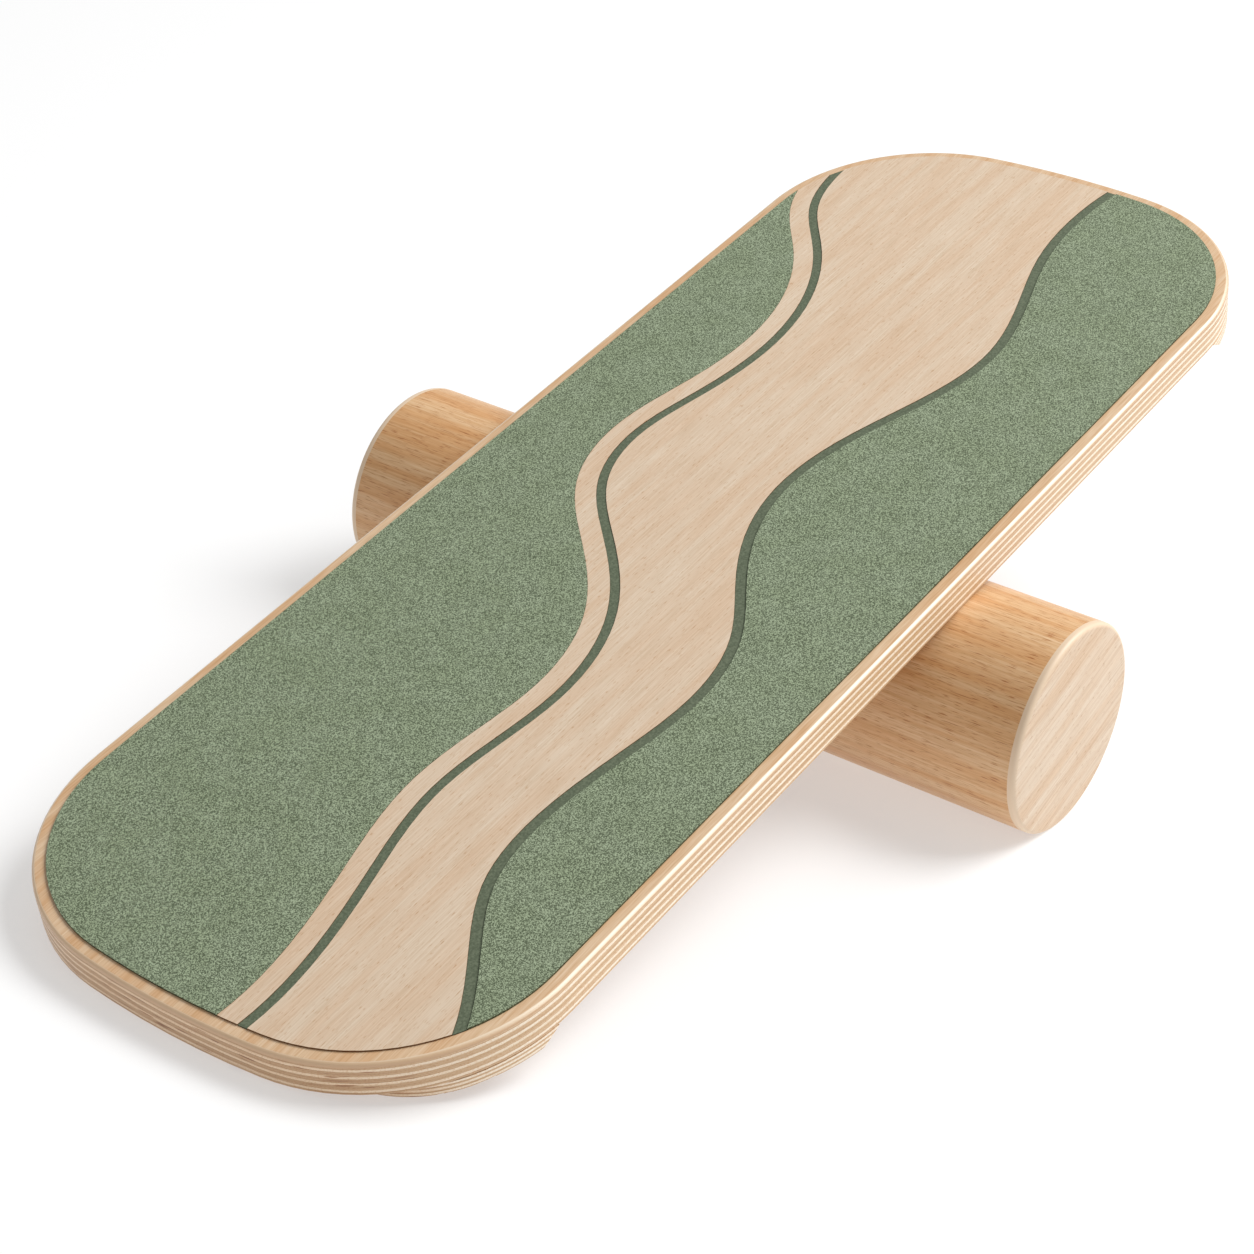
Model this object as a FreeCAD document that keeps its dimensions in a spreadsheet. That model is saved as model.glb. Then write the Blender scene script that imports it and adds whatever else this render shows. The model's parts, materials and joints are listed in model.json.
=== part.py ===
import FreeCAD, Part
import math
import os

import Sketcher

# Roller balance board: a plywood deck that seesaws over a loose wooden roller.
#
# Frame: millimetres, +Z up, the floor at Z = 0, +X along the deck towards its raised end,
# +Y along the roller. The origin is on the floor, under the middle of the whole object.
# The deck rests with its near end (-X) on the floor and its underside on the roller.

V = FreeCAD.Vector

# Driving dimensions, in millimetres.
SIZES = {
    "deck_length": 770.0,
    "deck_width": 280.0,
    "corner_radius": 100.0,       # plan radius of the four corners
    "bow_radius": 500.0,          # plan radius of the gently bowed ends
    "face_ply": 2.2,              # top ply, thick enough to be rounded over
    "upper_ply": 1.1,             # the core, from under the face ply down: a thin ply,
    "light_ply": 1.4,             # then pale long-grain plies
    "dark_ply": 2.7,              # between darker double cross-grain plies,
    "under_ply": 1.9,             # and the ply of the underside
    "top_round": 2.0,
    "under_round": 1.0,
    "round_land": 0.1,            # least flat edge that a rounding leaves on its ply
    "rim_width": 7.0,             # bare face ply left round the field
    "veneer_thick": 0.9,
    "pad_thick": 1.1,
    "stripe_thick": 0.5,
    "seam": 0.1,                  # joint between neighbouring pieces of the field
    "narrow_stripe_width": 5.0,
    "border_stripe_width": 5.5,
    "wood_strip_width": 11.0,
    "stop_inset": 22.0,           # from the deck's end to the stop's straight outer face
    "stop_corner": 60.0,          # plan radius where that face runs into the deck's plan
    "stop_length": 93.0,          # from the deck's end to the stop's inner face, at its top
    "stop_slope": 11.0,           # how far the inner face leans out over the stop's depth
    "stop_ply": 1.1,
    "screw_diameter": 4.0,
    "screw_reach": 18.5,          # from under the head to the tip
    "screw_tip": 3.0,
    "head_diameter": 8.0,
    "head_height": 1.8,
    "socket_width": 2.5,
    "socket_depth": 1.2,
    "screw_inset": 50.0,          # from the deck's end to the row of screws
    "screw_pitch": 85.0,
    "screw_gap": 0.05,            # radial room round a shank
    "head_gap": 0.4,              # radial room round a head
    "roller_diameter": 110.0,
    "roller_length": 420.0,
    "roller_wall": 9.0,
    "cap_flange": 4.0,
    "cap_spigot": 10.0,
    "cap_round": 2.5,
    "spigot_gap": 0.05,           # radial room round a spigot
    "running_gap": 0.3,           # between the deck's underside and the roller
    "roller_ahead": 34.5,         # roller's axis, from the deck's middle towards +X
    "deck_aside": -11.0,          # deck's middle, from the roller's middle along Y
}

CORE_PLIES = ["under_ply", "light_ply", "dark_ply", "light_ply", "dark_ply",
              "light_ply", "dark_ply", "light_ply", "upper_ply"]   # underside up
STOP_PLIES = 6
HEAD_PLIES = 2                    # lowest stop plies, bored out for the screw heads
SCREWS_PER_STOP = 3

# Middle lines of the two wavy stripes, near end to far end: (percent of the field's
# half length, percent of its half width). They run on past the field at both ends.
NARROW_STRIPE = [(-104.5, -27), (-90, -29.5), (-75.5, -21.5), (-58, -12), (-37, -18),
                 (-21, -8), (-8, 20.5), (2.5, 45.5), (13, 52.5), (26.5, 46), (40, 41.5),
                 (54, 48), (66, 66), (75.5, 85.5), (82.5, 91.5), (91.5, 93), (104.5, 95)]
BORDER_STRIPE = [(-96.5, -96), (-87.5, -90), (-78, -74), (-67.5, -56.5), (-57, -52),
                 (-40, -58), (-28.5, -61.5), (-17, -55), (-6.5, -37), (2.5, -24),
                 (13, -18), (25, -22), (40, -35.5), (53, -41.5), (65, -35), (79, -23),
                 (90, -20), (104.5, -26)]
EDGE_SAMPLES = 90                 # points along a stripe from which its edges are offset

doc = FreeCAD.newDocument("balance_board")
sheet = doc.addObject("Spreadsheet::Sheet", "Sizes")
for row, (alias, value) in enumerate(SIZES.items(), start=1):
    sheet.set("A%d" % row, alias)
    sheet.set("B%d" % row, str(value))
    sheet.setAlias("B%d" % row, alias)
doc.recompute()


def size(alias):
    """A driving dimension, read back from the sheet."""
    return float(sheet.get(alias))


# ---------------------------------------------------------------- where things lie

def core_thickness():
    return sum(size(ply) for ply in CORE_PLIES)


def deck_thickness():
    return core_thickness() + size("face_ply")


def stop_depth():
    return STOP_PLIES * size("stop_ply")


def roller_radius():
    return size("roller_diameter") / 2


def underside_height():
    """Deck's underside above the roller's axis, square to the deck."""
    return roller_radius() + size("running_gap")


def rounding(rounded, ply):
    """A rounding's expression and radius, limited by the ply that it is cut on."""
    expression = "min(Sizes.%s; Sizes.%s - Sizes.round_land)" % (rounded, ply)
    return expression, min(size(rounded), size(ply) - size("round_land"))


def touch(reach, height, ply):
    """Angle at which the low edge of a ply of the deck or a stop, `reach` along the deck
    from the roller's axis and `height` above it, comes down to Z = 0 with its rounding."""
    edge = rounding("under_round", ply)[1]
    along = reach - edge
    above = height + edge
    drop = math.asin((roller_radius() - edge) / math.hypot(along, above))
    return drop + math.atan2(above, along)


def lean(reach):
    """Angle at which the end of the deck, `reach` from the roller's axis, is down: its
    stop or its own edge touches the floor, whichever comes first."""
    return min(touch(reach - size("stop_inset"), underside_height() - stop_depth(), "stop_ply"),
               touch(reach, underside_height(), CORE_PLIES[0]))


def near_reach():
    return size("deck_length") / 2 + size("roller_ahead")


def far_reach():
    return size("deck_length") / 2 - size("roller_ahead")


def axis_x():
    """X of the roller's axis that puts the whole object's middle at X = 0."""
    tilt = lean(near_reach())
    top = rounding("top_round", "face_ply")[1]
    low = rounding("under_round", CORE_PLIES[0])[1]
    top_centre = underside_height() + deck_thickness() - top
    low_centre = underside_height() + low
    left = -(near_reach() - top) * math.cos(tilt) - top_centre * math.sin(tilt) - top
    right = (far_reach() - low) * math.cos(tilt) - low_centre * math.sin(tilt) + low
    return -(left + right) / 2


def roller_place():
    """Roller's axis along Y, resting on the floor."""
    return FreeCAD.Placement(V(axis_x(), 0, roller_radius()), FreeCAD.Rotation())


def deck_place(height):
    """Frame of the tilted deck: origin in its middle, `height` above its underside."""
    tilt = FreeCAD.Rotation(V(0, 1, 0), -math.degrees(lean(near_reach())))
    shift = V(-size("roller_ahead"), size("deck_aside"), underside_height() + height)
    leaned = FreeCAD.Placement(V(), tilt).multiply(FreeCAD.Placement(shift, FreeCAD.Rotation()))
    return roller_place().multiply(leaned)


# ---------------------------------------------------------------- sketches

def new_body(name, place):
    body = doc.addObject("PartDesign::Body", name)
    body.Label = name
    body.Placement = place
    return body


def new_sketch(body, name, plane="XY_Plane"):
    sketch = body.newObject("Sketcher::SketchObject", body.Name + "_" + name)
    support = [f for f in body.Origin.OriginFeatures if f.Role == plane][0]
    sketch.AttachmentSupport = (support, [""])
    sketch.MapMode = "FlatFace"
    return sketch


def bind(sketch, constraint, expression):
    """Add a dimension and tie it to the sheet."""
    index = sketch.addConstraint(constraint)
    sketch.setExpression("Constraints[%d]" % index, expression)


def corner_geometry(half_length, half_width, corner, bow):
    """Centre of the corner arc in the +X +Y quarter, and the angle at which it runs
    into the end's bow arc, whose centre is on the X axis."""
    centre_y = half_width - corner
    centre_x = half_length - bow + math.sqrt((bow - corner) ** 2 - centre_y ** 2)
    return centre_x, centre_y, math.atan2(centre_y, centre_x - half_length + bow)


def deck_outline(sketch):
    """Full plan of the deck: two straight sides, four corner arcs, two bowed ends."""
    half_length = size("deck_length") / 2
    half_width = size("deck_width") / 2
    corner = size("corner_radius")
    bow = size("bow_radius")
    cx, cy, join = corner_geometry(half_length, half_width, corner, bow)
    quarter = math.pi / 2

    def arc(x, y, radius, start, end):
        circle = Part.Circle(V(x, y, 0), V(0, 0, 1), radius)
        return sketch.addGeometry(Part.ArcOfCircle(circle, start, end))

    top = sketch.addGeometry(Part.LineSegment(V(cx, half_width, 0), V(-cx, half_width, 0)))
    near_top = arc(-cx, cy, corner, quarter, math.pi - join)
    near = arc(bow - half_length, 0, bow, math.pi - join, math.pi + join)
    near_low = arc(-cx, -cy, corner, math.pi + join, 3 * quarter)
    low = sketch.addGeometry(Part.LineSegment(V(-cx, -half_width, 0), V(cx, -half_width, 0)))
    far_low = arc(cx, -cy, corner, 3 * quarter, 2 * math.pi - join)
    far = arc(half_length - bow, 0, bow, -join, join)
    far_top = arc(cx, cy, corner, join, quarter)

    loop = [top, near_top, near, near_low, low, far_low, far, far_top]
    for one, following in zip(loop, loop[1:] + loop[:1]):
        sketch.addConstraint(Sketcher.Constraint("Tangent", one, 2, following, 1))
    for line in (top, low):
        sketch.addConstraint(Sketcher.Constraint("Horizontal", line))
    for end in (near, far):
        sketch.addConstraint(Sketcher.Constraint("PointOnObject", end, 3, -1))
        bind(sketch, Sketcher.Constraint("Radius", end, bow), "Sizes.bow_radius")
    for rounded in (near_top, near_low, far_low, far_top):
        bind(sketch, Sketcher.Constraint("Radius", rounded, corner), "Sizes.corner_radius")
    inside = "Sizes.bow_radius - Sizes.deck_length / 2"
    bind(sketch, Sketcher.Constraint("DistanceX", -1, 1, near, 3, bow - half_length), inside)
    bind(sketch, Sketcher.Constraint("DistanceX", far, 3, -1, 1, bow - half_length), inside)
    above = "Sizes.deck_width / 2"
    bind(sketch, Sketcher.Constraint("DistanceY", -1, 1, top, 1, half_width), above)
    bind(sketch, Sketcher.Constraint("DistanceY", low, 1, -1, 1, half_width), above)


def screw_spots(sketch, ends, radius_expression, radius):
    """Circles where the screws pass: a row across each of the given ends (-1, +1)."""
    inset = size("screw_inset")
    pitch = size("screw_pitch")
    across = [k - (SCREWS_PER_STOP - 1) / 2 for k in range(SCREWS_PER_STOP)]
    for end in ends:
        for k in across:
            x = end * (size("deck_length") / 2 - inset)
            centre = V(x, k * pitch, 0)
            circle = sketch.addGeometry(Part.Circle(centre, V(0, 0, 1), radius))
            bind(sketch, Sketcher.Constraint("DistanceX", -1, 1, circle, 3, x),
                 "%d * (Sizes.deck_length / 2 - Sizes.screw_inset)" % end)
            if k:
                bind(sketch, Sketcher.Constraint("DistanceY", -1, 1, circle, 3, k * pitch),
                     "%g * Sizes.screw_pitch" % k)
            else:
                sketch.addConstraint(Sketcher.Constraint("PointOnObject", circle, 3, -1))
            bind(sketch, Sketcher.Constraint("Radius", circle, radius), radius_expression)


# ---------------------------------------------------------------- features

def pad(body, sketch, expression, midplane=False):
    feature = body.newObject("PartDesign::Pad", sketch.Name + "_pad")
    feature.Profile = sketch
    feature.Midplane = midplane
    feature.setExpression("Length", expression)
    return feature


def cut_through(body, sketch):
    """Pocket right through the body, both ways; it must take material away."""
    doc.recompute()
    before = body.Shape.Volume
    feature = body.newObject("PartDesign::Pocket", sketch.Name + "_pocket")
    feature.Profile = sketch
    feature.Type = "ThroughAll"
    feature.Midplane = True
    doc.recompute()
    if not body.Shape.Volume < before:
        raise RuntimeError("%s cuts nothing" % feature.Name)
    return feature


def round_edges(body, chosen, expression, name="round"):
    """Fillet the edges for which chosen(edge) is true."""
    doc.recompute()
    base = body.Tip
    names = ["Edge%d" % (i + 1) for i, edge in enumerate(base.Shape.Edges) if chosen(edge)]
    feature = body.newObject("PartDesign::Fillet", body.Name + "_" + name)
    feature.Base = (base, names)
    feature.setExpression("Radius", expression)
    return feature


def at_height(z):
    """Picks edges that lie flat at height z of a body."""
    def chosen(edge):
        box = edge.BoundBox
        return abs(box.ZMin - z) < 1e-4 and abs(box.ZMax - z) < 1e-4
    return chosen


def upright_at(x):
    """Picks edges that stand upright at X = x."""
    def chosen(edge):
        box = edge.BoundBox
        return abs(box.XMin - x) < 1e-4 and abs(box.XMax - x) < 1e-4 and box.YLength < 1e-4
    return chosen


def outer_at_height(z):
    """Picks the same edges, but not those of the screw holes."""
    flat = at_height(z)
    widest_hole = size("head_diameter") + 2 * size("head_gap")

    def chosen(edge):
        return flat(edge) and edge.BoundBox.DiagonalLength > 2 * widest_hole
    return chosen


# ---------------------------------------------------------------- deck and end stops

def shank_bore():
    radius = size("screw_diameter") / 2 + size("screw_gap")
    return "Sizes.screw_diameter / 2 + Sizes.screw_gap", radius


def head_bore():
    radius = size("head_diameter") / 2 + size("head_gap")
    return "Sizes.head_diameter / 2 + Sizes.head_gap", radius


def ply_body(name, place, thickness):
    body = new_body(name, place)
    outline = new_sketch(body, "outline")
    deck_outline(outline)
    pad(body, outline, thickness)
    return body


def deck_plies():
    """Core plies from the underside up, then the rounded face ply."""
    plies = []
    head_seat = HEAD_PLIES * size("stop_ply")
    screw_top = size("screw_reach") - (stop_depth() - head_seat)
    floor = 0
    for k, ply in enumerate(CORE_PLIES):
        body = ply_body("core_ply_%d" % (k + 1), deck_place(floor), "Sizes." + ply)
        if floor < screw_top:
            holes = new_sketch(body, "holes")
            expression, radius = shank_bore()
            screw_spots(holes, (-1, 1), expression, radius)
            cut_through(body, holes)
        plies.append(body)
        floor += size(ply)
    round_edges(plies[0], outer_at_height(0), rounding("under_round", CORE_PLIES[0])[0])
    face = ply_body("face_ply", deck_place(core_thickness()), "Sizes.face_ply")
    round_edges(face, at_height(size("face_ply")), rounding("top_round", "face_ply")[0])
    return plies + [face]


def stop_plies(name, end):
    """One end stop: plies in the deck's plan, cut off straight across at the outer face
    and along one sloping inner face."""
    plies = []
    for k in range(STOP_PLIES):
        height = -stop_depth() + k * size("stop_ply")
        body = ply_body("%s_ply_%d" % (name, k + 1), deck_place(height), "Sizes.stop_ply")

        # The cut's sloping line runs one ply's rise past the ply, up and down.
        waste = new_sketch(body, "waste", "XZ_Plane")
        rise = size("stop_ply")
        run = size("stop_slope") / STOP_PLIES
        inner = end * (size("deck_length") / 2 - size("stop_length") + run * (STOP_PLIES - k))
        past = -end * size("deck_length")
        corners = [V(inner + end * run, -rise, 0), V(past, -rise, 0),
                   V(past, 2 * rise, 0), V(inner - 2 * end * run, 2 * rise, 0)]
        edges = [waste.addGeometry(Part.LineSegment(a, b))
                 for a, b in zip(corners, corners[1:] + corners[:1])]
        for one, following in zip(edges, edges[1:] + edges[:1]):
            waste.addConstraint(Sketcher.Constraint("Coincident", one, 2, following, 1))
        for edge in edges[0:3:2]:
            waste.addConstraint(Sketcher.Constraint("Horizontal", edge))
        waste.addConstraint(Sketcher.Constraint("Vertical", edges[1]))
        for edge, steps in ((edges[0], 1), (edges[3], -2)):
            bind(waste, Sketcher.Constraint("DistanceX", -1, 1, edge, 1,
                                            inner + end * steps * run),
                 "%d * (Sizes.deck_length / 2 - Sizes.stop_length + Sizes.stop_slope * %d / %d)"
                 % (end, STOP_PLIES - k + steps, STOP_PLIES))
        bind(waste, Sketcher.Constraint("DistanceX", -1, 1, edges[1], 1, past),
             "%d * Sizes.deck_length" % -end)
        bind(waste, Sketcher.Constraint("DistanceY", edges[0], 1, -1, 1, rise), "Sizes.stop_ply")
        bind(waste, Sketcher.Constraint("DistanceY", -1, 1, edges[2], 1, 2 * rise),
             "2 * Sizes.stop_ply")
        cut_through(body, waste)

        tip = new_sketch(body, "tip")
        outer = end * (size("deck_length") / 2 - size("stop_inset"))
        side = size("deck_width")
        corners = [V(outer, -side, 0), V(-past, -side, 0), V(-past, side, 0), V(outer, side, 0)]
        edges = [tip.addGeometry(Part.LineSegment(a, b))
                 for a, b in zip(corners, corners[1:] + corners[:1])]
        for one, following in zip(edges, edges[1:] + edges[:1]):
            tip.addConstraint(Sketcher.Constraint("Coincident", one, 2, following, 1))
        for edge in edges[0::2]:
            tip.addConstraint(Sketcher.Constraint("Horizontal", edge))
        for edge in edges[1::2]:
            tip.addConstraint(Sketcher.Constraint("Vertical", edge))
        bind(tip, Sketcher.Constraint("DistanceX", -1, 1, edges[0], 1, outer),
             "%d * (Sizes.deck_length / 2 - Sizes.stop_inset)" % end)
        bind(tip, Sketcher.Constraint("DistanceX", -1, 1, edges[1], 1, -past),
             "%d * Sizes.deck_length" % end)
        bind(tip, Sketcher.Constraint("DistanceY", edges[0], 1, -1, 1, side), "Sizes.deck_width")
        bind(tip, Sketcher.Constraint("DistanceY", -1, 1, edges[2], 1, side), "Sizes.deck_width")
        cut_through(body, tip)
        round_edges(body, upright_at(outer), "Sizes.stop_corner", "corner")

        holes = new_sketch(body, "holes")
        expression, radius = head_bore() if k < HEAD_PLIES else shank_bore()
        screw_spots(holes, (end,), expression, radius)
        cut_through(body, holes)
        plies.append(body)
    round_edges(plies[0], outer_at_height(0), rounding("under_round", "stop_ply")[0])
    return plies


# ---------------------------------------------------------------- screws

def screw_group(name, end):
    """Washer-head wood screws driven up through a stop into the deck, one node."""
    copies = []
    seat = HEAD_PLIES * size("stop_ply") - stop_depth()
    for k in range(SCREWS_PER_STOP):
        tag = "%s_%d" % (name, k + 1)
        head = doc.addObject("Part::Cylinder", tag + "_head")
        head.setExpression("Radius", "Sizes.head_diameter / 2")
        head.setExpression("Height", "Sizes.head_height")
        head.setExpression("Placement.Base.z", "-Sizes.head_height")
        shank = doc.addObject("Part::Cylinder", tag + "_shank")
        shank.setExpression("Radius", "Sizes.screw_diameter / 2")
        shank.setExpression("Height", "Sizes.screw_reach - Sizes.screw_tip")
        tip = doc.addObject("Part::Cone", tag + "_tip")
        tip.setExpression("Radius1", "Sizes.screw_diameter / 2")
        tip.Radius2 = 0
        tip.setExpression("Height", "Sizes.screw_tip")
        tip.setExpression("Placement.Base.z", "Sizes.screw_reach - Sizes.screw_tip")
        blank = doc.addObject("Part::MultiFuse", tag + "_blank")
        blank.Shapes = [head, shank, tip]
        socket = doc.addObject("Part::Prism", tag + "_socket")
        socket.Polygon = 6
        socket.setExpression("Circumradius", "Sizes.socket_width / sqrt(3)")
        socket.setExpression("Height", "Sizes.socket_depth")
        socket.setExpression("Placement.Base.z", "-Sizes.head_height")
        screw = doc.addObject("Part::Cut", tag)
        screw.Base = blank
        screw.Tool = socket
        x = end * (size("deck_length") / 2 - size("screw_inset"))
        y = (k - (SCREWS_PER_STOP - 1) / 2) * size("screw_pitch")
        screw.Placement = FreeCAD.Placement(V(x, y, 0), FreeCAD.Rotation())
        copies.append(screw)
    group = doc.addObject("Part::Compound", name)
    group.Label = name
    group.Links = copies
    group.Placement = deck_place(seat)
    return group


# ---------------------------------------------------------------- field on the deck

def field_half_length():
    return size("deck_length") / 2 - size("rim_width")


def field_half_width():
    return size("deck_width") / 2 - size("rim_width")


def field_prism(thickness):
    """The whole field as one slab: the deck's plan, drawn in by the rim's width."""
    half_length = field_half_length()
    half_width = field_half_width()
    corner = size("corner_radius") - size("rim_width")
    bow = size("bow_radius") - size("rim_width")
    cx, cy, join = corner_geometry(half_length, half_width, corner, bow)
    end_x = cx + corner * math.cos(join)
    end_y = cy + corner * math.sin(join)
    half_join = (join + math.pi / 2) / 2
    mid_x = cx + corner * math.cos(half_join)
    mid_y = cy + corner * math.sin(half_join)
    edges = []
    for s in (1, -1):
        edges.append(Part.LineSegment(V(s * cx, s * half_width, 0),
                                      V(-s * cx, s * half_width, 0)).toShape())
        edges.append(Part.Arc(V(-s * cx, s * half_width, 0), V(-s * mid_x, s * mid_y, 0),
                              V(-s * end_x, s * end_y, 0)).toShape())
        edges.append(Part.Arc(V(-s * end_x, s * end_y, 0), V(-s * half_length, 0, 0),
                              V(-s * end_x, -s * end_y, 0)).toShape())
        edges.append(Part.Arc(V(-s * end_x, -s * end_y, 0), V(-s * mid_x, -s * mid_y, 0),
                              V(-s * cx, -s * half_width, 0)).toShape())
    return Part.Face(Part.Wire(edges)).extrude(V(0, 0, thickness))


def wave(path, offset):
    """The stripe's middle line moved sideways by `offset` towards +Y, as one spline."""
    middle = Part.BSplineCurve()
    middle.interpolate([V(along * field_half_length() / 100, across * field_half_width() / 100, 0)
                        for along, across in path])
    first = middle.FirstParameter
    step = (middle.LastParameter - first) / EDGE_SAMPLES
    moved = []
    for k in range(EDGE_SAMPLES + 1):
        forward = middle.tangent(first + k * step)[0]
        moved.append(middle.value(first + k * step) + V(-forward.y, forward.x, 0) * offset)
    edge = Part.BSplineCurve()
    edge.interpolate(moved)
    return edge


def closed_between(lower, upper):
    """Face between two wavy edges that both run near end to far end."""
    wire = Part.Wire([lower.toShape(),
                      Part.LineSegment(lower.EndPoint, upper.EndPoint).toShape(),
                      upper.toShape().reversed(),
                      Part.LineSegment(upper.StartPoint, lower.StartPoint).toShape()])
    return Part.Face(wire)


def closed_beyond(edge, side):
    """Face from a wavy edge out past the field's side (+1 for +Y, -1 for -Y)."""
    out = side * size("deck_width")
    start = edge.StartPoint
    end = edge.EndPoint
    past = V(size("deck_length"), 0, 0)
    corners = [end, V(past.x, end.y, 0), V(past.x, out, 0), V(-past.x, out, 0),
               V(-past.x, start.y, 0), start]
    lines = [Part.LineSegment(a, b).toShape() for a, b in zip(corners, corners[1:])]
    return Part.Face(Part.Wire([edge.toShape()] + lines))


def field_piece(name, region, thickness):
    """A sheet of the field: a region of the plan, trimmed to the field's outline."""
    piece = doc.addObject("Part::Feature", name)
    piece.Label = name
    solid = region.extrude(V(0, 0, thickness)).common(field_prism(thickness))
    piece.Shape = solid.Solids[0]
    piece.Placement = deck_place(deck_thickness())
    return piece


def field_pieces():
    """Pad, wood strip, narrow stripe, river of veneer, border stripe and pad, +Y to -Y."""
    half_seam = size("seam") / 2
    half_narrow = size("narrow_stripe_width") / 2
    half_border = size("border_stripe_width") / 2
    strip_edge = half_narrow + size("wood_strip_width")
    veneer = size("veneer_thick")
    grip = size("pad_thick")
    stripe = size("stripe_thick")
    left = closed_beyond(wave(NARROW_STRIPE, strip_edge + half_seam), 1)
    strip = closed_between(wave(NARROW_STRIPE, half_narrow + half_seam),
                           wave(NARROW_STRIPE, strip_edge - half_seam))
    narrow = closed_between(wave(NARROW_STRIPE, half_seam - half_narrow),
                            wave(NARROW_STRIPE, half_narrow - half_seam))
    river = closed_between(wave(BORDER_STRIPE, half_border + half_seam),
                           wave(NARROW_STRIPE, -half_narrow - half_seam))
    border = closed_between(wave(BORDER_STRIPE, half_seam - half_border),
                            wave(BORDER_STRIPE, half_border - half_seam))
    right = closed_beyond(wave(BORDER_STRIPE, -half_border - half_seam), -1)
    return [field_piece("left_grip_pad", left, grip),
            field_piece("veneer_strip", strip, veneer),
            field_piece("narrow_stripe", narrow, stripe),
            field_piece("veneer_river", river, veneer),
            field_piece("border_stripe", border, stripe),
            field_piece("right_grip_pad", right, grip)]


# ---------------------------------------------------------------- roller

def ring(sketch, expression, radius):
    circle = sketch.addGeometry(Part.Circle(V(), V(0, 0, 1), radius))
    sketch.addConstraint(Sketcher.Constraint("Coincident", circle, 3, -1, 1))
    bind(sketch, Sketcher.Constraint("Radius", circle, radius), expression)


def roller_tube():
    """Laminated tube between the two caps, its axis along Y."""
    body = new_body("roller_tube", roller_place())
    section = new_sketch(body, "section", "XZ_Plane")
    ring(section, "Sizes.roller_diameter / 2", roller_radius())
    ring(section, "Sizes.roller_diameter / 2 - Sizes.roller_wall",
         roller_radius() - size("roller_wall"))
    pad(body, section, "Sizes.roller_length - 2 * Sizes.cap_flange", midplane=True)
    return body


def roller_cap(name, side):
    """Disc with a spigot that plugs the tube; side is +1 for the +Y end, -1 for the -Y end."""
    turn = FreeCAD.Rotation(V(1, 0, 0), -90 * side)
    seat = V(0, side * (size("roller_length") / 2 - size("cap_flange")), 0)
    place = roller_place().multiply(FreeCAD.Placement(seat, turn))
    body = new_body(name, place)
    flange = new_sketch(body, "flange")
    ring(flange, "Sizes.roller_diameter / 2", roller_radius())
    pad(body, flange, "Sizes.cap_flange")
    spigot = new_sketch(body, "spigot")
    ring(spigot, "Sizes.roller_diameter / 2 - Sizes.roller_wall - Sizes.spigot_gap",
         roller_radius() - size("roller_wall") - size("spigot_gap"))
    plug = pad(body, spigot, "Sizes.cap_spigot")
    plug.Reversed = True
    round_edges(body, at_height(size("cap_flange")), "Sizes.cap_round")
    return body


# ---------------------------------------------------------------- the whole board

parts = deck_plies()
parts += stop_plies("near_stop", -1)
parts += stop_plies("far_stop", 1)
parts += [screw_group("near_stop_screws", -1), screw_group("far_stop_screws", 1)]
parts += field_pieces()
parts += [roller_tube(), roller_cap("roller_cap_right", -1), roller_cap("roller_cap_left", 1)]
doc.recompute()

for item in doc.Objects:
    if "Invalid" in item.State or "Error" in item.State:
        raise RuntimeError("%s failed: %s" % (item.Name, item.State))
for item in parts:
    if item.Shape.isNull() or not item.Shape.isValid():
        raise RuntimeError("%s has no valid shape" % item.Label)

os.makedirs("parts", exist_ok=True)
for item in parts:
    item.Shape.exportStep("parts/%s.step" % item.Label)

print("parts: %d" % len(parts))
print("rest tilt %.3f deg, far end down at %.3f deg more"
      % (math.degrees(lean(near_reach())), math.degrees(lean(near_reach()) + lean(far_reach()))))
print("roller axis at X %.3f, Z %.3f" % (axis_x(), roller_radius()))
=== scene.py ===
import json
import math

import bpy
import numpy as np
from mathutils import Matrix, Vector


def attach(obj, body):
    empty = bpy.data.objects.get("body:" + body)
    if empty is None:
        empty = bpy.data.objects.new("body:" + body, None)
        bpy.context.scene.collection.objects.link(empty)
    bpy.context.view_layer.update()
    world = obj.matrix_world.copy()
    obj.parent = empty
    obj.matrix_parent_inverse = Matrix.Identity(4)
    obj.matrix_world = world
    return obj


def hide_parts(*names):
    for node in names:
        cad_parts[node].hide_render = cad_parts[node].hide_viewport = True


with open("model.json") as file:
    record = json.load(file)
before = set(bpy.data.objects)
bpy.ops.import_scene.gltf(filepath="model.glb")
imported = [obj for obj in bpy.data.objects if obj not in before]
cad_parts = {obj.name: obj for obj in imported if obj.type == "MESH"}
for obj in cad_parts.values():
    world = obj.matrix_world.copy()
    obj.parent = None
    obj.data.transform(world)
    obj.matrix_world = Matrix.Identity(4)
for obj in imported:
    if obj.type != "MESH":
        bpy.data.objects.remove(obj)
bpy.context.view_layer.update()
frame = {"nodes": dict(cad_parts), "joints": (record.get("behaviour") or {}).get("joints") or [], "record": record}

# Roller balance board: a plywood deck with an inlaid veneer and two grip pads, leaning
# over a loose beech roller. Metres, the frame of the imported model.

MM = 0.001

# ------------------------------------------------------------ where the deck lies

STAND = frame["record"]["mounts"][0]            # flat of the inlaid veneer, deck's middle
UP = Vector(STAND["axis"])
LEAN = math.atan2(-UP.x, UP.z)                  # far end (+X) is the raised one
ALONG = Vector((math.cos(LEAN), 0, math.sin(LEAN)))
MIDDLE = Vector(STAND["pos_m"])
AXLE = Vector(frame["joints"][0]["pos_m"])      # a point on the roller's axis


# ------------------------------------------------------------ colours and nodes

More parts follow.
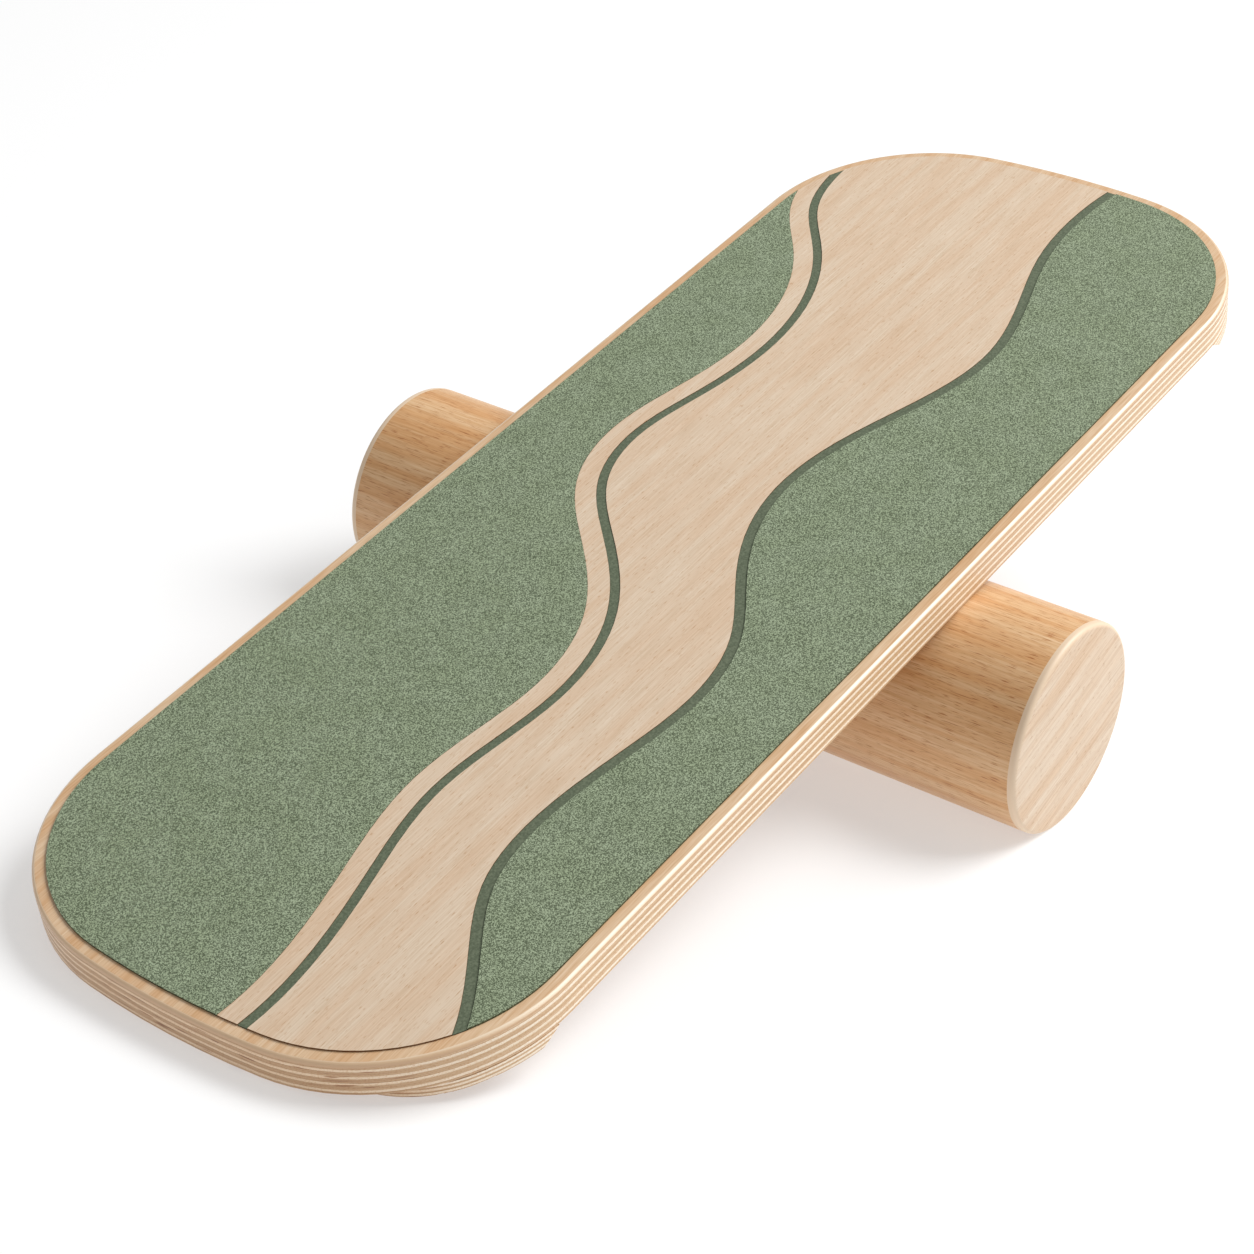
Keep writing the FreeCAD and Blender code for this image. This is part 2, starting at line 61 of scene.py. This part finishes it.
def tone(code):
    """sRGB hex code to the linear RGBA that sockets take."""
    parts = [int(code[i:i + 2], 16) / 255 for i in (0, 2, 4)]
    return tuple(c / 12.92 if c <= 0.04045 else ((c + 0.055) / 1.055) ** 2.4
                 for c in parts) + (1.0,)


def add(tree, kind, sockets=None, **settings):
    """Adds one node. `settings` are its properties; `sockets` maps an input's name or
    index to a constant or to the output that feeds it."""
    node = tree.nodes.new("ShaderNode" + kind)
    for name, value in settings.items():
        setattr(node, name, value)
    for name, value in (sockets or {}).items():
        if isinstance(value, bpy.types.NodeSocket):
            tree.links.new(value, node.inputs[name])
        else:
            node.inputs[name].default_value = value
    return node


def surface(name, base, roughness, **constants):
    """Empty material whose shader is returned with its tree, ready for links."""
    material = bpy.data.materials.new(name)
    material.use_nodes = True
    tree = material.node_tree
    tree.nodes.clear()
    shader = add(tree, "BsdfPrincipled", {"Base Color": base, "Roughness": roughness})
    for socket, value in constants.items():
        shader.inputs[socket.replace("_", " ")].default_value = value
    add(tree, "OutputMaterial", {"Surface": shader.outputs["BSDF"]})
    return material, tree, shader


def ramp(tree, factor, *stops):
    """Colour ramp through (place, colour) stops."""
    node = add(tree, "ValToRGB", {"Fac": factor})
    elements = node.color_ramp.elements
    while len(elements) < len(stops):
        elements.new(0.5)
    for element, (place, colour) in zip(elements, stops):
        element.position = place
        element.color = colour
    return node.outputs["Color"]


def space(tree, origin, turn, stretch):
    """Object coordinates from `origin`, turned about Y, in millimetres over `stretch`."""
    place = add(tree, "TexCoord").outputs["Object"]
    centred = add(tree, "VectorMath", {0: place, 1: origin}, operation="SUBTRACT")
    turned = add(tree, "Mapping", {"Vector": centred.outputs[0], "Rotation": (0, turn, 0)})
    scale = tuple(1 / (MM * s) for s in stretch)
    scaled = add(tree, "VectorMath", {0: turned.outputs[0], 1: scale}, operation="MULTIPLY")
    return scaled.outputs[0]


def deck_space(tree, stretch=(1, 1, 1)):
    """The deck's own frame: X along it, Y across, Z up from the veneer's top."""
    return space(tree, MIDDLE, LEAN, stretch)


def roller_space(tree, stretch=(1, 1, 1), turn=0.0):
    """A frame centred on the roller's axis, which runs along Y."""
    return space(tree, AXLE, turn, stretch)


def noise(tree, where, detail=2.0, twist=0.0):
    """Noise whose cells are about one unit of `where` across."""
    return add(tree, "TexNoise", {"Vector": where, "Scale": 1.0, "Detail": detail,
                                  "Roughness": 0.5, "Distortion": twist}).outputs["Fac"]


def tinted(tree, colour, tint, amount):
    """`colour` turned towards its product with `tint` where `amount` is 1."""
    mixed = add(tree, "Mix", {0: amount, 6: colour, 7: tint}, data_type="RGBA",
                blend_type="MULTIPLY")
    return mixed.outputs[2]


def band(tree, value, start, end):
    """0 where `value` is at `start`, 1 at `end`, straight between and level beyond."""
    return add(tree, "MapRange", {0: value, 1: start, 2: end, 3: 0.0, 4: 1.0}).outputs[0]


def relief(tree, shader, height, depth):
    """Bump whose full swing of `height` stands for `depth` millimetres."""
    bump = add(tree, "Bump", {"Height": height, "Strength": 1.0, "Distance": depth * MM})
    tree.links.new(bump.outputs[0], shader.inputs["Normal"])


def blended(tree, first, second, amount):
    """`first` where `amount` is 0 and `second` where it is 1."""
    return add(tree, "Mix", {0: amount, 6: first, 7: second}, data_type="RGBA").outputs[2]


def deck_height(tree):
    """Millimetres above the veneer's top."""
    return add(tree, "SeparateXYZ", {0: deck_space(tree)}).outputs[2]


# ------------------------------------------------------------ finishes

CAP_SLANT = 24.0                                # degrees, grain of the roller's caps
CAP_HIGHLIGHT_RADII = 52.5, 54.2                       # radii between which the caps are painted paler, a painted highlight on their rims
FACE_TOP, FACE_FOOT = -0.9, -3.1                # heights of the face ply


def scorched(tree, colour, top, char="86663f"):
    """The laser-cut edges of a sheet, which lie below its `top` (mm above the veneer's
    top): browned, so neighbouring sheets are parted by a thin dark line."""
    return tinted(tree, colour, tone(char), band(tree, deck_height(tree), top - 0.03, top - 0.08))


def veneer_finish():
    """Sliced birch veneer, sanded and oiled: straight fine grain along the deck, faint
    broad bands of cream and pink, short open pores, hardly any gloss."""
    material, tree, shader = surface("sliced_birch_veneer_oiled", tone("d9c3aa"), 0.6)
    fibre = noise(tree, deck_space(tree, (26, 0.75, 26)), 3.0)
    broad = noise(tree, deck_space(tree, (120, 9, 120)), 3.0, 0.4)
    pores = noise(tree, deck_space(tree, (4, 0.5, 4)), 0.0)
    colour = ramp(tree, fibre, (0.3, tone("d1b99d")), (0.5, tone("dac4ab")), (0.7, tone("e2cfb8")))
    colour = tinted(tree, colour, tone("fbf3ec"), band(tree, broad, 0.38, 0.62))
    colour = tinted(tree, colour, tone("e6d5c2"), band(tree, pores, 0.68, 0.8))
    tree.links.new(scorched(tree, colour, 0.0), shader.inputs["Base Color"])
    relief(tree, shader, fibre, 0.03)
    return material


def face_finish():
    """Birch face ply, routed round and lacquered satin: honey wood with straight grain
    along the deck, browner towards its foot, partly the glue line and partly painted
    shade below the round, and along the sides a smooth cream line painted on the round
    as a painted highlight where the light catches it."""
    material, tree, shader = surface("birch_face_ply_lacquered", tone("d9b58f"), 0.4,
                                     Coat_Weight=0.5, Coat_Roughness=0.4)
    fibre = noise(tree, deck_space(tree, (16, 0.8, 0.8)), 2.0)
    broad = noise(tree, deck_space(tree, (90, 7, 7)), 2.0)
    colour = ramp(tree, fibre, (0.3, tone("d3ae85")), (0.5, tone("debd98")), (0.7, tone("e6c9a8")))
    colour = tinted(tree, colour, tone("f6e8d8"), band(tree, broad, 0.4, 0.62))
    height = deck_height(tree)
    drop = band(tree, height, FACE_FOOT, FACE_TOP)
    # Painted light: along the sides the round is painted cream as its highlight, and the foot is browner, partly
    # glue line and partly painted shade.
    side_painted_light = ramp(tree, drop, (0.0, tone("c7a079")), (0.4, tone("d3ad86")),
                   (0.54, tone("f3e2c9")), (0.94, tone("f3e2c9")))
    at_end = ramp(tree, drop, (0.0, tone("c7a079")), (0.4, tone("d3ad86")), (0.8, tone("debd98")))
    outward = add(tree, "NewGeometry").outputs["Normal"]
    outward = add(tree, "VectorMath", {0: outward, 1: ALONG}, operation="DOT_PRODUCT")
    endways = add(tree, "Math", {0: outward.outputs["Value"]}, operation="ABSOLUTE").outputs[0]
    round_painted_light = blended(tree, side_painted_light, at_end, band(tree, endways, 0.05, 0.4))
    rounding = band(tree, height, FACE_TOP - 0.02, FACE_TOP - 0.1)
    colour = blended(tree, colour, round_painted_light, rounding)
    tree.links.new(colour, shader.inputs["Base Color"])
    return material


def ply_finish(name, ends, sides):
    """Sawn and sanded edge of one birch ply under satin lacquer: long streaks that run
    with the ply, faint flecks, and a few small dark checks at the ends. `ends` and `sides`
    are its dark, middle and light tones where it faces the deck's ends and its long sides:
    they differ partly with the grain, long on one and end grain on the other, and partly
    as painted light, every ply painted lighter on the sides and darker at the ends."""
    material, tree, shader = surface(name, tone(ends[1]), 0.5, Coat_Weight=0.3,
                                     Coat_Roughness=0.25)
    streak = noise(tree, deck_space(tree, (200, 60, 0.5)), 1.0)
    checks = noise(tree, deck_space(tree, (13, 13, 1.0)), 0.0)
    fleck = noise(tree, deck_space(tree, (0.9, 0.9, 0.5)), 1.0)
    aside = add(tree, "SeparateXYZ", {0: add(tree, "NewGeometry").outputs["Normal"]}).outputs[1]
    sideways = add(tree, "Math", {0: aside}, operation="ABSOLUTE").outputs[0]
    # Painted light: lighter copies of the tones on the sides, darker ones at the ends.
    shaded_end_face, lit_side_face = (ramp(tree, streak, *zip((0.3, 0.5, 0.7), map(tone, codes)))
                           for codes in (ends, sides))
    lit_side_mask = band(tree, sideways, 0.5, 0.95)
    colour = blended(tree, shaded_end_face, lit_side_face, lit_side_mask)
    at_ends = add(tree, "Math", {0: band(tree, checks, 0.7, 0.8),
                                 1: band(tree, sideways, 0.9, 0.5)}, operation="MULTIPLY")
    colour = tinted(tree, colour, tone("b9926c"), at_ends.outputs[0])
    colour = tinted(tree, colour, tone("f0e2d2"), band(tree, fleck, 0.5, 0.7))
    tree.links.new(colour, shader.inputs["Base Color"])
    return material


def grip_finish():
    """Cork-rubber grip sheet, skived: a dull green mat of fine curled crumbs under a
    millimetre across, with faint cloudy patches."""
    material, tree, shader = surface("cork_rubber_grip_sheet", tone("7f886f"), 0.9)
    crumb = noise(tree, deck_space(tree, (0.65, 0.65, 0.65)), 0.0, 0.9)
    cloud = noise(tree, deck_space(tree, (22, 22, 22)), 2.0)
    colour = ramp(tree, crumb, (0.4, tone("5a654d")), (0.5, tone("7b866c")), (0.6, tone("a1af91")))
    colour = tinted(tree, colour, tone("f8f9f5"), band(tree, cloud, 0.4, 0.6))
    tree.links.new(scorched(tree, colour, 0.2, "a2977f"), shader.inputs["Base Color"])
    relief(tree, shader, crumb, 0.3)
    return material


def stripe_finish():
    """Thin rubber inlay, smooth: one dull dark green, faintly mottled."""
    material, tree, shader = surface("rubber_inlay_smooth", tone("676e5a"), 0.8)
    mottle = noise(tree, deck_space(tree, (1.1, 1.1, 1.1)), 2.0)
    colour = ramp(tree, mottle, (0.35, tone("525c46")), (0.5, tone("5c6650")),
                  (0.65, tone("69725b")))
    tree.links.new(scorched(tree, colour, -0.4), shader.inputs["Base Color"])
    relief(tree, shader, mottle, 0.1)
    return material


def roller_finish():
    """Beech, turned and oiled: honey wood, fine grain along the roller, growth bands and
    the short dark flecks that beech has."""
    material, tree, shader = surface("beech_barrel_turned", tone("dcb58a"), 0.45,
                                     Coat_Weight=0.2, Coat_Roughness=0.3)
    fibre = noise(tree, roller_space(tree, (0.8, 30, 0.8)), 3.0)
    growth = noise(tree, roller_space(tree, (7, 240, 7)), 2.0)
    fleck = noise(tree, roller_space(tree, (0.32, 6.5, 0.32)), 0.0)
    colour = ramp(tree, fibre, (0.3, tone("d3a674")), (0.5, tone("dfb688")), (0.7, tone("e8c499")))
    colour = tinted(tree, colour, tone("f5e4cf"), band(tree, growth, 0.4, 0.62))
    colour = tinted(tree, colour, tone("cfab86"), band(tree, fleck, 0.64, 0.78))
    tree.links.new(colour, shader.inputs["Base Color"])
    relief(tree, shader, fibre, 0.05)
    return material


def cap_finish():
    """Beech disc, sanded and oiled: pale, its straight grain slanting across the disc, and
    smooth where its rim is rounded over, where it is painted paler as a painted highlight
    that also lifts the rim where it turns into shade."""
    material, tree, shader = surface("beech_cap_sanded", tone("e0cab1"), 0.5,
                                     Coat_Weight=0.15, Coat_Roughness=0.35)
    slant = math.radians(CAP_SLANT)
    fibre = noise(tree, roller_space(tree, (30, 0.9, 0.9), slant), 3.0)
    broad = noise(tree, roller_space(tree, (110, 9, 9), slant), 2.0)
    fleck = noise(tree, roller_space(tree, (4, 0.5, 0.5), slant), 0.0)
    colour = ramp(tree, fibre, (0.3, tone("cfb59a")), (0.5, tone("d9c3aa")), (0.7, tone("e1ceb8")))
    colour = tinted(tree, colour, tone("f8ede1"), band(tree, broad, 0.4, 0.62))
    colour = tinted(tree, colour, tone("dcc4aa"), band(tree, fleck, 0.68, 0.8))
    reach = add(tree, "VectorMath", {0: roller_space(tree, (1, 1e6, 1))}, operation="LENGTH")
    over = band(tree, reach.outputs["Value"], *CAP_HIGHLIGHT_RADII)
    # Painted highlight: the cap's rounded rim painted paler.
    colour = blended(tree, colour, tone("e6cdb0"), over)
    tree.links.new(colour, shader.inputs["Base Color"])
    return material


def screw_finish():
    """Zinc-plated steel: grey and half bright."""
    return surface("zinc_plated_steel", tone("9a9a98"), 0.35, Metallic=1.0)[0]


FINISHES = {
    "face_veneer": face_finish(),
    "ply_light": ply_finish("birch_ply_along_the_deck", ("e0bf9a", "ebcfae", "f1dabd"),
                            ("f0dcc0", "f8e8d1", "fcf0de")),
    "ply_dark": ply_finish("birch_ply_across_the_deck", ("b38961", "c29b74", "cfab85"),
                           ("c29c74", "d0ad85", "ddbd98")),
    "pale_veneer": veneer_finish(),
    "grip_pad": grip_finish(),
    "stripe": stripe_finish(),
    "roller_beech": roller_finish(),
    "cap_beech": cap_finish(),
    "screw_steel": screw_finish(),
}

SLOTS = {entry["node"]: entry["material_slot"] for entry in frame["record"]["subparts"]}
for name, slot_name in SLOTS.items():
    data = frame["nodes"][name].data
    data.materials.clear()
    data.materials.append(FINISHES[slot_name])

# ------------------------------------------------------------ rounded pieces


def skin(name, rows, wraps, body, *nodes):
    """Closed surface over a grid of points: rows x columns x XYZ, in metres. Each row is a
    closed loop; the rows close on each other if `wraps`, and otherwise the first and last
    row are each covered by one flat face. The piece stands for the CAD nodes given."""
    count, around = rows.shape[:2]
    last = count if wraps else count - 1
    i, j = np.meshgrid(np.arange(last), np.arange(around), indexing="ij")
    below, beside = (i + 1) % count, (j + 1) % around
    quads = np.stack([i * around + j, i * around + beside,
                      below * around + beside, below * around + j], -1).reshape(-1, 4)
    faces = quads.tolist()
    if not wraps:
        faces += [list(range(around))[::-1], list(range((count - 1) * around, count * around))]
    mesh = bpy.data.meshes.new(name)
    mesh.from_pydata(rows.reshape(-1, 3).tolist(), [], faces)
    mesh.shade_smooth()
    mesh.set_sharp_from_angle(angle=math.radians(40))
    mesh.materials.append(FINISHES[SLOTS[nodes[0]]])
    piece = bpy.data.objects.new(name, mesh)
    bpy.context.scene.collection.objects.link(piece)
    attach(piece, body)
    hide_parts(*nodes)


def turned(profile, sides=192):
    """Rows of a shape turned about the roller's axis: each (radius, height) of `profile`
    in mm becomes a circle of that radius, `height` along +Y from the roller's middle."""
    radius, height = np.array(profile, float).T[:, :, None]
    turn = np.linspace(0, 2 * np.pi, sides, endpoint=False)[None, :]
    flat = np.zeros_like(turn)
    points = np.stack([radius * np.cos(turn), height + flat, radius * np.sin(turn)], -1)
    return points * MM + np.array(AXLE)


def quarter(centre, radius, start, end, steps=10):
    """Points of an arc round `centre`, angles in degrees."""
    angle = np.radians(np.linspace(start, end, steps))
    return [(centre[0] + radius * math.cos(a), centre[1] + radius * math.sin(a)) for a in angle]


ROLLER_R, ROLLER_WALL, ROLLER_HALF = 55.0, 9.0, 210.0
FLANGE, SPIGOT, CAP_ROUND = 4.0, 10.0, 2.5
END = ROLLER_HALF - FLANGE

skin("roller_tube_turned",
     turned([(ROLLER_R, -END), (ROLLER_R - ROLLER_WALL, -END),
             (ROLLER_R - ROLLER_WALL, END), (ROLLER_R, END)]), True, "roller", "roller_tube")

cap = [(ROLLER_R - ROLLER_WALL - 0.05, END - SPIGOT), (ROLLER_R - ROLLER_WALL - 0.05, END),
       (ROLLER_R, END)] + quarter((ROLLER_R - CAP_ROUND, ROLLER_HALF - CAP_ROUND), CAP_ROUND, 0, 90)
skin("roller_cap_left_turned", turned(cap)[:, ::-1], False, "roller", "roller_cap_left")
skin("roller_cap_right_turned", turned([(r, -y) for r, y in cap]), False,
     "roller", "roller_cap_right")

# Face ply: the deck's plan carried up a profile that ends in a quarter round.
HALF_LENGTH, HALF_WIDTH, CORNER, BOW = 385.0, 140.0, 100.0, 500.0
FACE, TOP_ROUND, VENEER = 2.2, 2.0, 0.9


def deck_plan(steps=24):
    """The deck's plan as points and outward normals, anticlockwise: one corner arc and
    half a bowed end are worked out and mirrored to the other three quarters."""
    up = HALF_WIDTH - CORNER
    along = HALF_LENGTH - BOW + math.sqrt((BOW - CORNER) ** 2 - up ** 2)
    join = math.atan2(up, along - HALF_LENGTH + BOW)
    bow = np.linspace(0, join, steps, endpoint=False)
    corner = np.linspace(join, np.pi / 2, steps)
    angle = np.concatenate([bow, corner])
    normal = np.stack([np.cos(angle), np.sin(angle)], -1)
    centre = np.where((angle < join)[:, None], (HALF_LENGTH - BOW, 0), (along, up))
    radius = np.where(angle < join, BOW, CORNER)[:, None]
    point = centre + radius * normal
    flips = [(1, 1, 1), (-1, 1, -1), (-1, -1, 1), (1, -1, -1)]
    quarters = [(q * (x, y))[::way][:None if way > 0 else -1]
                for q in (point, normal) for x, y, way in flips]
    return np.concatenate(quarters[:4]), np.concatenate(quarters[4:])


def carried(profile):
    """Rows of the deck's plan drawn in by each `profile` point's first number and set at
    its second, mm above the veneer's top, then tilted and placed as the deck lies."""
    plan, normal = deck_plan()
    inward, height = np.array(profile, float).T[:, :, None]
    flat = plan[None] - inward[..., None] * normal[None]
    forward, up = np.array(ALONG), np.array(UP)
    placed = (flat[..., :1] * forward + flat[..., 1:] * np.array((0, 1, 0))
              + (height[..., None] * up))
    return placed * MM + np.array(MIDDLE)


TOP = -VENEER
rim = [(20, TOP - FACE), (0, TOP - FACE)]
rim += [(TOP_ROUND - x, TOP - TOP_ROUND + y) for x, y in quarter((0, 0), TOP_ROUND, 0, 90, 12)]
rim += [(20, TOP)]
skin("face_ply_rounded", carried(rim), False, "deck", "face_ply")

# ------------------------------------------------------------ floor, light, camera

FLOOR_HALF = 6.0                                # metres
FLOOR_GLOW, SKY_LIGHT, KEY_POWER = 0.46, 0.37, 282
floor_mesh = bpy.data.meshes.new("floor")
floor_mesh.from_pydata([(x * FLOOR_HALF, y * FLOOR_HALF, 0)
                        for x, y in ((-1, -1), (1, -1), (1, 1), (-1, 1))], [], [(0, 1, 2, 3)])
floor = bpy.data.objects.new("floor", floor_mesh)
bpy.context.scene.collection.objects.link(floor)
floor_mesh.materials.append(surface("studio_sweep_lit_through", tone("bebebe"), 0.95,
                                    Emission_Color=(1, 1, 1, 1), Emission_Strength=FLOOR_GLOW)[0])

world = bpy.data.worlds.new("studio")
world.use_nodes = True
world.node_tree.nodes["Background"].inputs["Color"].default_value = (1, 1, 1, 1)
world.node_tree.nodes["Background"].inputs["Strength"].default_value = SKY_LIGHT
bpy.context.scene.world = world


def softbox(name, place, aim, width, height, power):
    """Rectangular lamp at `place`, facing `aim`."""
    data = bpy.data.lights.new(name, "AREA")
    data.shape = "RECTANGLE"
    data.size = width
    data.size_y = height
    data.energy = power
    lamp = bpy.data.objects.new(name, data)
    lamp.location = place
    lamp.rotation_euler = (Vector(aim) - Vector(place)).to_track_quat("-Z", "Y").to_euler()
    bpy.context.scene.collection.objects.link(lamp)


softbox("key", (2.25, -2.2, 3.95), (0, 0, 0.1), 3.0, 3.0, KEY_POWER)

# Camera: place, aim and the small roll about the line of sight.
EYE = Vector((-1.10152, -0.74002, 0.72365))
AIM = Vector((-0.08600, -0.03598, 0.1))
ROLL = math.radians(4.101)
back = (EYE - AIM).normalized()
level = Vector((0, 0, 1)).cross(back).normalized()
upright = back.cross(level)
right = level * math.cos(ROLL) + upright * math.sin(ROLL)
above = back.cross(right)
view = Matrix((right, above, back)).transposed().to_4x4()
view.translation = EYE
camera_data = bpy.data.cameras.new("camera")
camera_data.sensor_width = 36
camera_data.lens = 83.116
camera = bpy.data.objects.new("camera", camera_data)
camera.matrix_world = view
bpy.context.scene.collection.objects.link(camera)
bpy.context.scene.camera = camera
bpy.context.scene.view_settings.view_transform = "Standard"
